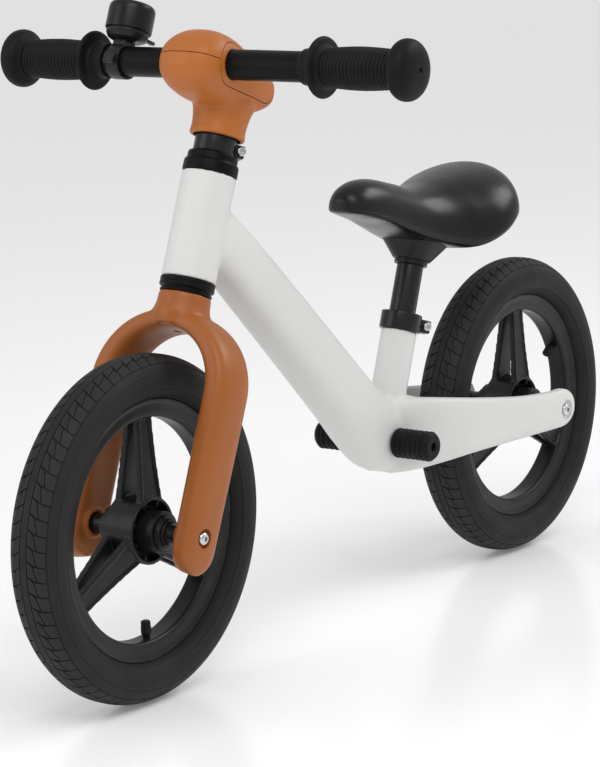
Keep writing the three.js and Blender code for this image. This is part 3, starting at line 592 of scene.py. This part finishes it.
def frameCasting():
    c = casting
    beamRows = eased([(x, 0, z, width / 2, height / 2) for x, z, height, width in c["beam"]], 6)
    parts = [swept("beam", yWay, beamRows, 3, 64)]
    for side in (1, -1):
        stayRows = eased([(x, side * y, (top + bottom) / 2, (top - bottom) / 2, thick / 2)
                          for x, y, thick, top, bottom in c["stay"]], 5)
        parts.append(swept("stay", zWay, stayRows, 3.6, 48))
    for radius, low, high, place in ((c["headRadius"], c["headBottom"], c["headTop"], steerPlace),
                                     (c["seatRadius"], -20, c["seatTop"], seatPlace)):
        tube = rod("tube", radius, low, high, 96)
        tube.data.transform(place)
        parts.append(tube)
    whole = cast("frame_casting", parts, c["grain"], 3, c["joins"], 26)
    for radius, low, high, place in ((c["headBore"], 170, 340, steerPlace),
                                     (c["seatBore"], c["boreBottom"], 96, seatPlace)):
        bore = rod("bore", radius, low, high, 72)
        bore.data.transform(place)
        boolean(whole, bore)
    axle = (-bike["halfWheelbase"], 0, bike["wheelRadius"])
    for at in (c["pegAt"], axle):
        boolean(whole, rod("bore", bike["rodBore"], -80, 80, 40, "y", at))
    for label, side in sides:  # shallow round seats for the bolt heads
        low, high = sorted((side * c["boltSeatFrom"], side * 80))
        boolean(whole, rod("seat", c["boltSeat"], low, high, 64, "y", axle))
    return whole


fit(frameCasting(), "frame_body", framePaint, stands=["frame"], sharp=50)
print("frame cast")


# the fork, measured along and across the steering axis
fork = dict(
    back=-2, legInner=47, legOuter=68, shoulder=71, halfWidth=22, tipFrom=-8,
    archCentre=118, archOuter=66, archInner=48.5, drain=4, boltSeat=8.2, boltSeatFrom=64.5, grain=1.3,
    # radius and distance from the middle of the raised ring around the axle, inside the left leg
    boss=[(9.2, 44.4), (12.4, 44.4), (13.4, 49), (9.2, 49)],
    # radius and height of the crown's neck
    crown=[(0, 168), (22.8, 170), (24.6, 181), (22.6, 187), (22, 197.6), (0, 197.6)], bore=14.8)


def forkRows():
    f = fork
    outline = []  # outer point, inner point and half width, from the left tip to the crown

    def legPoint(drop):
        height = f["tipFrom"] - drop * f["halfWidth"]
        width = f["halfWidth"] * math.sqrt(1 - drop * drop)
        return (f["legOuter"] - 4 * drop ** 4, height), (f["legInner"] + 2 * drop ** 4, height), width

    for drop in (0.995, 0.98, 0.95, 0.9, 0.82, 0.72, 0.6, 0.45, 0.25, 0):
        outline.append(legPoint(drop))
    for height, share in ((22, 0.25), (45, 0.5), (67, 0.7), (88, 0.85), (104, 0.95)):
        outer = f["legOuter"] + share * (f["shoulder"] - f["legOuter"])
        outline.append(((outer, height), (f["legInner"], height), f["halfWidth"]))
    for step in range(25):
        angle = math.pi / 2 * step / 24
        c, s = math.cos(angle), math.sin(angle)
        outer = (f["shoulder"] * c, f["archCentre"] + f["archOuter"] * s)
        inner = (f["legInner"] * c, f["archCentre"] + f["archInner"] * s)
        outline.append((outer, inner, f["halfWidth"] + 0.5 * s))
    rows = []
    for outer, inner, width in outline:
        middle = (np.array(outer) + inner) / 2
        rows.append((f["back"], middle[0], middle[1], width, math.dist(outer, inner) / 2))
    return rows + [(x, -y, z, a, b) for x, y, z, a, b in rows[-2::-1]]


def forkCasting():
    f = fork
    parts = [swept("legs", xWay, forkRows(), 3, 48), turned("neck", f["crown"], 96)]
    for label, side in sides:
        boss = turned("boss", f["boss"], 64, "y", loop=True)
        boss.data.transform(Matrix.Scale(side, 4, (0, 1, 0)))
        parts.append(boss)
    whole = cast("fork_casting", parts, f["grain"], 3, [(0, 0, 178, 40)], 14)
    boolean(whole, rod("bore", f["bore"], 176, 205, 64))
    boolean(whole, rod("drain", f["drain"], 150, 180, 32))
    boolean(whole, rod("bore", bike["rodBore"], -90, 90, 40, "y"))
    for label, side in sides:  # shallow round seats for the bolt heads
        low, high = sorted((side * f["boltSeatFrom"], side * 90))
        boolean(whole, rod("seat", f["boltSeat"], low, high, 56, "y"))
    return whole


fit(forkCasting(), "fork_body", forkPaint, steerPlace, ["fork"], 50)
print("fork cast")


headset = dict(
    # outlines as (radius, height along the steering axis)
    lower=[(14.8, 197.9), (21.8, 197.9), (22.2, 199.4), (21.2, 200.2), (21.2, 201.4), (23.2, 202.6),
           (23.3, 205.4), (22.7, 205.9), (23.2, 206.5), (23.2, 209.7), (14.8, 209.7)],
    upper=[(14.8, 300.9), (23.1, 300.9), (23.4, 302), (23.2, 309.6), (22.4, 311.2), (21.3, 311.6),
           (21.3, 316.8), (20.2, 318.3), (14.8, 318.3)],
    steerer=[(11.3, 176.5), (14.5, 176.5), (14.5, 340), (11.3, 340)],
    collar=dict(radius=17.8, bore=14.8, low=318.6, high=339, ears=(9, 13, 11), earAt=-20.3, slot=2,
                earHeight=324.6, turn=-38))

for label in ("lower", "upper"):
    cup = turned(label + "_cup", headset[label], 96, loop=True, round=0.45)
    fit(cup, "frame_body", barCoat, steerPlace, [label + "_headset_cup"])
steererPiece = turned("steerer", headset["steerer"], 72, loop=True, round=0.4)
fit(steererPiece, "fork_body", anodised, steerPlace, ["steerer_tube"])


def splitCollar(name, c):
    # a ring clamp with two ears and a slot between them, turned about its axis
    radius, bore, low, high = c["radius"], c["bore"], c["low"], c["high"]
    outline = [(bore, low), (radius, low), (radius, high), (bore, high)]
    collar = turned(name, outline, 96, loop=True, round=0.7)
    ears = block("ears", c["ears"], (c["earAt"], 0, c["earHeight"]), 1.2)
    boolean(ears, rod("clear", bore, low - 30, high + 30, 72))
    boolean(collar, ears, "UNION")
    boolean(collar, block("slot", (20, c["slot"], high - low + 20), (-radius - 3, 0, (low + high) / 2)))
    boolean(collar, rod("hole", 2.4, -20, 20, 24, "y", (c["earAt"] - 0.7, 0, c["earHeight"])))
    collar.data.transform(Matrix.Rotation(math.radians(c["turn"]), 4, "Z"))
    return collar


def capScrew(name, head, at, turn):
    # the head stands on the left ear and the shank ends in the right one
    start, tail = 6.8, -7
    line = [(0, tail), (2.1, tail), (2.1, start), (head, start), (head, start + 3.4),
            (head - 0.6, start + 4), (0, start + 4)]
    made = turned(name, line, 40, "y", round=0.25)
    boolean(made, rod("socket", 1.9, start + 1.6, start + 6, 6, "y"))
    made.data.transform(Matrix.Rotation(math.radians(turn), 4, "Z") @ Matrix.Translation(at))
    return made


collar = headset["collar"]
fit(splitCollar("stem_collar", collar), "fork_body", anodised, steerPlace, ["stem_clamp"])
screw = capScrew("stem_collar_screw", 3.9, (-21, 0, collar["earHeight"]), collar["turn"])
fit(screw, "fork_body", screwSteel, steerPlace, ["stem_clamp_screw"])
print("headset built")


bar = dict(radius=12.7, bore=10.7, half=204, forward=33.6, height=386.5)
barPlace = steerPlace @ Matrix.Translation((bar["forward"], 0, bar["height"]))
barLine = [(bar["bore"], -bar["half"]), (bar["radius"], -bar["half"]), (bar["radius"], bar["half"]),
           (bar["bore"], bar["half"])]
barTube = turned("handlebar_tube", barLine, 96, "y", loop=True, round=0.5)
fit(barTube, "handlebar_body", barCoat, barPlace, ["handlebar"])


stem = dict(
    post=11, postFrom=226, postTo=372, sleeve=17, sleeveHalf=19, barBore=13,
    # forward, sideways, height, half width and half thickness of the neck
    neck=[(0, 0, 352, 11, 11), (6, 0, 368, 12, 12), (33.6, 0, 382, 12, 9)])


def stemBody():
    # post, neck and the sleeve that holds the bar
    s = stem
    barAt = (bar["forward"], 0, bar["height"])
    body = rod("stem_post", s["post"], s["postFrom"], s["postTo"], 56, round=0.6)
    boolean(body, swept("neck", yWay, eased(s["neck"], 6), 2.6, 40), "UNION")
    sleeve = rod("sleeve", s["sleeve"], -s["sleeveHalf"], s["sleeveHalf"], 72, "y", barAt, 0.8)
    boolean(body, sleeve, "UNION")
    return boolean(body, rod("bore", s["barBore"], -40, 40, 72, "y", barAt))


fit(stemBody(), "handlebar_body", anodised, steerPlace, ["stem"])

cover = dict(
    seam=385.7, seamGap=0.7, capFrom=22, nose=18.4, tail=11.5, tailAt=(-20, 381), power=2.5, grain=1.0,
    # distance forward, half width, bottom and top of the bulb
    bulb=[(-40, 13, 378, 389), (-38, 20, 372, 394), (-31, 26, 365, 398.5), (-16, 28.5, 358, 402.5),
          (4, 29.3, 354, 408), (26, 29.6, 354, 413.2), (42, 29.6, 354.5, 412.6), (54, 28.6, 356.5, 408),
          (63, 25.4, 361.5, 401), (68.5, 19.5, 367.5, 394), (71.8, 10, 375, 386)],
    # radius and height of the flared neck
    neck=[(0, 332.4), (22.4, 332.4), (23.4, 333), (23.8, 334.5), (23.1, 337), (22.9, 341), (23.2, 346),
          (24.4, 354), (27, 362), (27, 370), (0, 370)],
    # the way for the stem's neck, as in stem
    throat=[(0, 0, 348, 12, 12), (6, 0, 368, 13, 13), (33.6, 0, 382, 13, 10)])


def coverHollow():
    # room for the clamp collar, the stem and the bar
    barAt = (bar["forward"], 0, bar["height"])
    opening = rod("opening", 20.2, 320, 350, 72)
    boolean(opening, swept("throat", yWay, eased(cover["throat"], 6), 2.6, 40), "UNION")
    boolean(opening, rod("shaft", stem["post"] + 1, 340, 373, 56), "UNION")
    boolean(opening, rod("sleeve", stem["sleeve"] + 1, -19.6, 19.6, 72, "y", barAt), "UNION")
    return boolean(opening, rod("bar", stem["barBore"], -60, 60, 72, "y", barAt), "UNION")


def dropPrism(side, grow, start):
    # a drop outline: round nose about the bar, running to a small round tail behind
    nose = np.array([bar["forward"], bar["height"]])
    tail = np.array(cover["tailAt"], float)
    big, small = cover["nose"] + grow, cover["tail"] + grow
    way = tail - nose
    tilt = math.atan2(way[1], way[0])
    spread = math.acos((big - small) / np.linalg.norm(way))
    outline = [nose + big * np.array([math.cos(a), math.sin(a)])
               for a in np.linspace(tilt + spread, tilt - spread + 2 * math.pi, 44)]
    outline += [tail + small * np.array([math.cos(a), math.sin(a)])
                for a in np.linspace(tilt - spread, tilt + spread, 26)]
    rings = [[(x, side * y, z) for x, z in outline] for y in (start, start + 20)]
    return skin("drop", rings)


def coverPieces():
    rows = [(t, 0, (low + high) / 2, width, (high - low) / 2) for t, width, low, high in cover["bulb"]]
    bulb = swept("bulb", yWay, eased(rows, 6), cover["power"], 72)
    parts = [bulb, turned("neck", cover["neck"], 96)]
    body = cast("cover", parts, cover["grain"], 3, [(2, 0, 354, 42)], 22)
    gap = cover["seamGap"] / 2
    for label, side in sides:
        cap = copyOf(body, f"cover_drop_{label}")
        boolean(cap, dropPrism(side, -gap, cover["capFrom"] + clearance), "INTERSECT")
        boolean(cap, coverHollow())
        fit(cap, "handlebar_body", coverPlastic, steerPlace, [f"cover_cap_{label}"], 40)
    for side in (1, -1):
        boolean(body, dropPrism(side, gap, cover["capFrom"]))
    boolean(body, coverHollow())
    upper = copyOf(body, "cover_upper")
    boolean(upper, block("low", (200, 200, 120), (0, 0, cover["seam"] + gap - 60)))
    lower = copyOf(body, "cover_lower")
    boolean(lower, block("high", (200, 200, 120), (0, 0, cover["seam"] - gap + 60)))
    bpy.data.objects.remove(body)
    fit(upper, "handlebar_body", coverPlastic, steerPlace, ["stem_cover_upper"], 40)
    fit(lower, "handlebar_body", coverPlastic, steerPlace, ["stem_cover_lower"], 40)


coverPieces()
print("stem and cover built")

grip = dict(
    # outlines as (radius, distance from the middle of the bar)
    collar=[(14.2, 101.5), (15.0, 102.6), (15.1, 108), (15.3, 113.4), (17.6, 115.4), (23.4, 116.3),
            (25.2, 118.4), (23.6, 120.4), (18.6, 121.4), (16.0, 123.2)],
    knob=[(16.6, 188.6), (18.6, 190.2), (22.0, 192.2), (24.4, 195.2), (25, 199), (24.2, 203),
          (21.4, 206.6), (16.6, 209.3), (10, 210.9), (2.6, 211.5)],
    hole=[(2, 211), (2, 208.5), (0, 208.5)],
    ribsFrom=124, ribsTo=188, ribs=18, ribHeight=1.1, waist=16.0, swell=1.7, bore=13, boreEnd=204.3)


def gripSleeve(name, side):
    g = grip
    line = [(g["bore"], g["collar"][0][1])] + eased(g["collar"], 4).tolist()
    for i in range(g["ribs"] * 6 + 1):
        share = i / (g["ribs"] * 6)
        body = g["waist"] + g["swell"] * math.sin(math.pi * share)
        wave = abs(math.sin(math.pi * share * g["ribs"])) ** 0.6
        y = g["ribsFrom"] + share * (g["ribsTo"] - g["ribsFrom"])
        line.append((body - g["ribHeight"] + g["ribHeight"] * wave, y))
    line += eased(g["knob"], 4).tolist() + g["hole"] + [(0, g["boreEnd"]), (g["bore"], g["boreEnd"])]
    made = turned(name, line, 72, "y", loop=True)
    return sided(made, side)


for label, side in sides:
    sleeve = gripSleeve(f"grip_sleeve_{label}", side)
    fit(sleeve, "handlebar_body", gripRubber, barPlace, [f"grip_{label}"], 60)
print("grips built")


# the bell stands on the right of the bar
bell = dict(
    # outlines as (radius, height along the steering axis)
    dome=[(0, 412.6), (19.4, 412.6), (20, 413.2), (20, 431), (19.3, 434), (17.4, 436), (14.5, 436.8),
          (0, 437.4)],
    base=[(0, 404), (13, 404), (16.4, 405.6), (18.4, 409.4), (18.7, 412.3), (0, 412.3)],
    band=15.4, bandHalf=6.5, bore=13, away=-89, leverHeight=409.6, lever=(20, 5, 3), pocket=(25, 13.5, 4.2))
bellPlace = steerPlace @ Matrix.Translation((bar["forward"], bell["away"], 0))


def bellFoot():
    # the base, with a pocket that the lever swings in
    foot = turned("bell_foot", bell["base"], 96, round=0.5)
    return boolean(foot, block("pocket", bell["pocket"], (-16.5, 9.75, bell["leverHeight"])))


def bellBand():
    # a band round the bar, with a foot above it and the screw's ear in front
    b = bell
    outline = [(b["bore"], -b["bandHalf"]), (b["band"], -b["bandHalf"]), (b["band"], b["bandHalf"]),
               (b["bore"], b["bandHalf"])]
    band = turned("bell_band", outline, 72, "y", loop=True, round=0.6)
    band.data.transform(Matrix.Translation((0, 0, bar["height"])))
    boolean(band, block("foot", (15, 13, 9.7), (2, 0, bar["height"] + 12.3), 1), "UNION")
    boolean(band, block("ear", (8, 11, 9), (15.5, 0, bar["height"] - 2), 1.2), "UNION")
    return boolean(band, rod("bore", b["bore"], -20, 20, 72, "y", (0, 0, bar["height"])))


bellCap = turned("bell_cap", bell["dome"], 96, round=0.8)
fit(bellCap, "handlebar_body", bellLacquer, bellPlace, ["bell_dome"])
fit(bellFoot(), "handlebar_body", wheelPlastic, bellPlace, ["bell_base"])
fit(bellBand(), "handlebar_body", wheelPlastic, bellPlace, ["bell_strap"])
thumbLever = block("bell_thumb_lever", bell["lever"], (-16, 8, bell["leverHeight"]), 0.9)
fit(thumbLever, "bell_lever_body", wheelPlastic, bellPlace, ["bell_lever"])
print("bell built")


seat = dict(
    post=12.3, postBore=10.5, postBottom=15, postTop=128, panBore=12.6,
    collar=dict(radius=19, bore=12.6, low=56.3, high=72.5, ears=(13, 13, 12), earAt=-22, slot=2.2,
                earHeight=64.4, turn=-30))

collar = seat["collar"]
fit(splitCollar("seat_collar", collar), "frame_body", anodised, seatPlace, ["seat_clamp"])
screw = capScrew("seat_collar_screw", 4, (-23.5, 0, collar["earHeight"]), collar["turn"])
fit(screw, "frame_body", screwSteel, seatPlace, ["seat_clamp_screw"])
postLine = [(seat["postBore"], seat["postBottom"]), (seat["post"], seat["postBottom"]),
            (seat["post"], seat["postTop"]), (seat["postBore"], seat["postTop"])]
postTube = turned("post_tube", postLine, 72, loop=True, round=0.4)
fit(postTube, "saddle_body", anodised, seatPlace, ["seat_post"])

saddle = dict(
    # x, half width, top of the middle, underside of the edge
    rows=[(-6, 9, 382, 371), (-10, 15, 388, 368.5), (-18, 20, 393, 366), (-32, 24, 396, 361.5),
          (-52, 27, 395, 355), (-80, 30.5, 388.5, 343), (-108, 36, 382, 332), (-134, 46, 381.5, 324),
          (-158, 59, 385.5, 320), (-182, 67, 389.5, 328), (-206, 65, 392.5, 341), (-222, 54, 393, 352),
          (-232, 38, 390, 361), (-237, 20, 383, 368)],
    seamAngle=-9, seamDepth=0.7, seamWidth=3.2, waist=0.16, count=96, fill=0.9,
    # height on the post, shift forward, half sizes and squareness of the pan under the saddle
    pan=[(118.4, 0, 15.4, 15.4, 2), (122.4, 0, 15.4, 15.4, 2), (123, 0, 17, 17, 2.2), (130, 0, 20, 22, 2.6),
         (142, 1, 25, 31, 3), (152, 5, 26, 38, 3)])


def panShell(name, grow):
    rings = []
    rows = np.array(saddle["pan"], float)
    fine = np.concatenate([rows[:2], eased(rows[2:], 6)])
    for i, (s, t, a, b, power) in enumerate(fine):
        rise = grow if i == len(fine) - 1 else 0
        rings.append(ovalRing((t, 0, s + rise), xWay, yWay, a + grow, b + grow, power, 72))
    return skin(name, rings)


def saddleShell():
    s = saddle
    count = s["count"]
    angles = (np.arange(count) + 0.5) * 2 * math.pi / count
    rings = []
    for x, width, top, bottom in eased(s["rows"], 6):
        waist = bottom + (top - bottom) * s["waist"]
        c, n = np.cos(angles), np.sin(angles)
        above = n > 0
        y = width * np.sign(c) * np.abs(c) ** np.where(above, 0.95, 0.7)
        rise = np.where(above, top - waist, waist - bottom)
        z = waist + rise * np.sign(n) * np.abs(n) ** np.where(above, 1, 0.7)
        # a thin seam runs round the edge where the skin meets the base
        off = np.degrees(np.arcsin(np.clip(n, -1, 1))) - s["seamAngle"]
        pinch = s["seamDepth"] * np.exp(-(off / s["seamWidth"]) ** 2)
        rings.append(np.stack([0 * y + x, y * (1 - pinch / np.maximum(width, 9)), z], axis=1))
    made = skin("saddle_pad", rings)
    blank = panShell("blank", clearance)
    blank.data.transform(seatPlace)
    return boolean(made, blank)


pad = fit(saddleShell(), "saddle_body", saddleSkin, stands=["saddle"], sharp=60)
pan = panShell("saddle_pan_shell", 0)
boolean(pan, rod("bore", seat["panBore"], 90, seat["postTop"] + clearance, 72))
fit(pan, "saddle_body", wheelPlastic, seatPlace, ["saddle_pan"])
print("saddle built")


peg = dict(
    start=23.2, end=62.5, radius=13.8, ribs=6, rodEnd=56,
    # share of the pitch and height lost at each corner of one rib
    rib=[(0.15, 0.3), (0.45, 0), (0.72, 0.3), (0.86, 1.4), (1, 1.4)])
pegPlace = Matrix.Translation(casting["pegAt"])
pegBar = rod("peg_bar", bike["rodRadius"], -peg["rodEnd"], peg["rodEnd"], 40, "y")
fit(pegBar, "frame_body", screwSteel, pegPlace, ["peg_rod"])


def pegSleeve(name, side):
    p = peg
    radius, end = p["radius"], p["end"]
    pitch = (end - 6.5 - p["start"]) / p["ribs"]
    bore, boreEnd = bike["rodBore"], p["rodEnd"] + clearance
    line = [(bore, p["start"])]
    for i in range(p["ribs"]):
        line += [(radius - loss, p["start"] + (i + share) * pitch) for share, loss in p["rib"]]
    line += [(radius, end - 5.6), (radius, end - 3.4), (radius - 2.8, end)]  # plain end, chamfered
    line += [(4.6, end), (4, end - 0.8), (4, end - 4), (0, end - 4)]  # the hole in the end
    line += [(0, boreEnd), (bore, boreEnd)]
    made = turned(name, line, 72, "y", loop=True, round=0.35)
    return sided(made, side)


for label, side in sides:
    sleeve = pegSleeve(f"peg_sleeve_{label}", side)
    fit(sleeve, "frame_body", gripRubber, pegPlace, [f"peg_{label}"], 60)
print("pegs built")


# camera, floor and lamps are in metres, and the camera's angles are in radians
camera = dict(
    at=(2.03262, 1.40979, 0.69530), lens=131.395, sensor=36, yaw=3.7626, pitch=-0.1911, roll=-0.0253,
    farthest=200)


def placeCamera():
    cy, sy = math.cos(camera["yaw"]), math.sin(camera["yaw"])
    cp, sp = math.cos(camera["pitch"]), math.sin(camera["pitch"])
    ahead = Vector((cp * cy, cp * sy, sp))
    right = ahead.cross(Vector((0, 0, 1))).normalized()
    up = right.cross(ahead)
    cr, sr = math.cos(camera["roll"]), math.sin(camera["roll"])
    side = cr * right + sr * up
    top = -sr * right + cr * up
    data = bpy.data.cameras.new("view")
    data.lens = camera["lens"]
    data.sensor_width = camera["sensor"]
    data.clip_end = camera["farthest"]
    made = bpy.data.objects.new("view", data)
    turn = Matrix((side, top, -ahead)).transposed().to_4x4()
    made.matrix_world = Matrix.Translation(camera["at"]) @ turn
    bpy.context.scene.collection.objects.link(made)
    bpy.context.scene.camera = made


placeCamera()

studio = dict(
    floor=(0.95, 0.95, 0.95), floorRough=0.2, floorShine=0.4, floorGlow=0.12, floorHalf=60,
    floorDrop=0.0006, world=0.64,
    # power, size and place of each lamp
    lamps=dict(key=(22, (1.6, 1.2), (1.4, 1.0, 2.2)), fill=(9, (1.2, 1.6), (2.0, -1.4, 1.2)),
               rim=(18, (1.4, 0.8), (-1.6, 1.2, 1.8))))


def softLamp(name, power, size, at, target=(0, 0, 0.25)):
    data = bpy.data.lights.new(name, "AREA")
    data.energy = power
    data.shape = "RECTANGLE"
    data.size, data.size_y = size
    made = bpy.data.objects.new(name, data)
    made.location = at
    made.rotation_mode = "QUATERNION"
    made.rotation_quaternion = (Vector(target) - Vector(at)).to_track_quat("-Z", "Y")
    bpy.context.scene.collection.objects.link(made)


def studioFloor():
    mesh = bpy.data.meshes.new("floor")
    half = studio["floorHalf"]
    corners = [(x * half, y * half, -studio["floorDrop"]) for x, y in ((-1, -1), (1, -1), (1, 1), (-1, 1))]
    mesh.from_pydata(corners, [], [(0, 1, 2, 3)])
    made = bpy.data.objects.new("floor", mesh)
    bpy.context.scene.collection.objects.link(made)
    stuff = bpy.data.materials.new("floorPaper")
    stuff.use_nodes = True
    shader = stuff.node_tree.nodes["Principled BSDF"]
    shader.inputs["Base Color"].default_value = (*studio["floor"], 1)
    shader.inputs["Roughness"].default_value = studio["floorRough"]
    shader.inputs["Specular IOR Level"].default_value = studio["floorShine"]
    shader.inputs["Emission Color"].default_value = (1, 1, 1, 1)
    shader.inputs["Emission Strength"].default_value = studio["floorGlow"]
    mesh.materials.append(stuff)


studioFloor()
world = bpy.data.worlds.new("studio")
world.use_nodes = True
backdrop = world.node_tree.nodes["Background"]
backdrop.inputs["Color"].default_value = (1, 1, 1, 1)
backdrop.inputs["Strength"].default_value = studio["world"]
bpy.context.scene.world = world
for lampName, (power, size, at) in studio["lamps"].items():
    softLamp(lampName, power, size, at)
bpy.context.scene.view_settings.view_transform = "Standard"
print("studio set")
